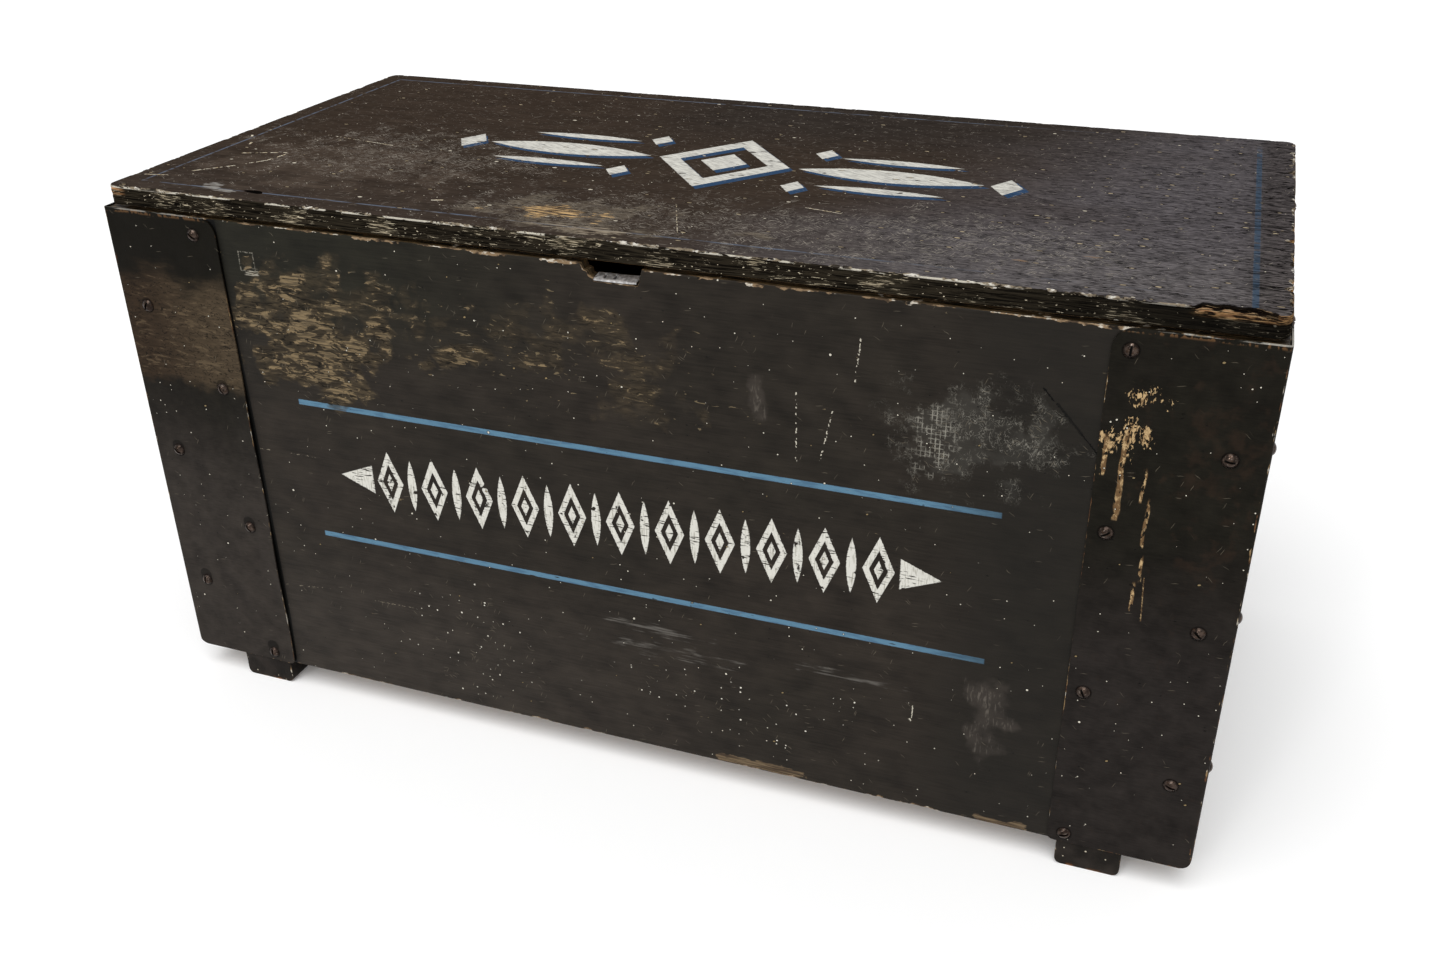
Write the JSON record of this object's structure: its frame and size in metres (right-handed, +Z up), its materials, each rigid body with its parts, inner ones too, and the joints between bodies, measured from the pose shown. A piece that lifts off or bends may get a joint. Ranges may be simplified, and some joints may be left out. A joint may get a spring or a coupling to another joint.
{
  "type": "wooden trunk",
  "caption": "Painted plywood trunk with sheet-steel corner plates, a lid on butt hinges at the back, bearers under the floor and a drop handle on each end.",
  "frame": {"origin": "on the floor under the middle of the trunk's outline", "axes": "+Z up, -Y out of the front, +X to the right seen from the front"},
  "size_m": [0.9326, 0.4486, 0.4732],
  "materials": {
    "painted_wood": "worn black paint",
    "bare_wood": "unpainted",
    "painted_steel": "worn black paint",
    "screw_steel": "tarnished",
    "keeper_steel": "worn bright",
    "black_iron": "blackened"
  },
  "bodies": {
    "case": {"back_left_corner_plate": "painted_steel", "back_left_post": "bare_wood", "back_panel": "painted_wood", "back_right_corner_plate": "painted_steel", "back_right_post": "bare_wood", "floor_panel": "bare_wood", "front_left_corner_plate": "painted_steel", "front_left_post": "bare_wood", "front_left_screw_01": "screw_steel", "front_left_screw_02": "screw_steel", "front_left_screw_03": "screw_steel", "front_left_screw_04": "screw_steel", "front_left_screw_05": "screw_steel", "front_left_screw_06": "screw_steel", "front_left_screw_07": "screw_steel", "front_left_screw_08": "screw_steel", "front_left_screw_09": "screw_steel", "front_left_screw_10": "screw_steel", "front_left_screw_11": "screw_steel", "front_left_screw_12": "screw_steel", "front_left_screw_13": "screw_steel", "front_left_screw_14": "screw_steel", "front_panel": "painted_wood", "front_right_corner_plate": "painted_steel", "front_right_post": "bare_wood", "front_right_screw_01": "screw_steel", "front_right_screw_02": "screw_steel", "front_right_screw_03": "screw_steel", "front_right_screw_04": "screw_steel", "front_right_screw_05": "screw_steel", "front_right_screw_06": "screw_steel", "front_right_screw_07": "screw_steel", "front_right_screw_08": "screw_steel", "front_right_screw_09": "screw_steel", "front_right_screw_10": "screw_steel", "front_right_screw_11": "screw_steel", "front_right_screw_12": "screw_steel", "front_right_screw_13": "screw_steel", "front_right_screw_14": "screw_steel", "hinge_rail": "bare_wood", "keeper_plate": "keeper_steel", "left_bearer": "painted_wood", "left_end_panel": "painted_wood", "left_handle_base": "black_iron", "left_hinge_case_leaf": "black_iron", "left_hinge_pin": "black_iron", "right_bearer": "painted_wood", "right_end_panel": "painted_wood", "right_handle_base": "black_iron", "right_hinge_case_leaf": "black_iron", "right_hinge_pin": "black_iron"},
    "lid": {"lid_panel": "painted_wood", "left_lid_batten": "bare_wood", "right_lid_batten": "bare_wood", "left_hinge_lid_leaf": "black_iron", "right_hinge_lid_leaf": "black_iron"},
    "left_bail": {"left_handle_bail": "black_iron"},
    "right_bail": {"right_handle_bail": "black_iron"}
  },
  "joints": [
    {"name": "lid_hinge", "type": "hinge", "parent": "case", "child": "lid", "pos_m": [0, 0.22135, 0.45575], "axis": [-1, 0, 0], "range_deg": [0, 180]},
    {"name": "left_bail_swing", "type": "hinge", "parent": "case", "child": "left_bail", "pos_m": [-0.4611, -0.00065, 0.3343], "axis": [0, 1, 0], "range_deg": [0, 180]},
    {"name": "right_bail_swing", "type": "hinge", "parent": "case", "child": "right_bail", "pos_m": [0.4611, -0.00065, 0.3343], "axis": [0, -1, 0], "range_deg": [0, 180]}
  ]
}
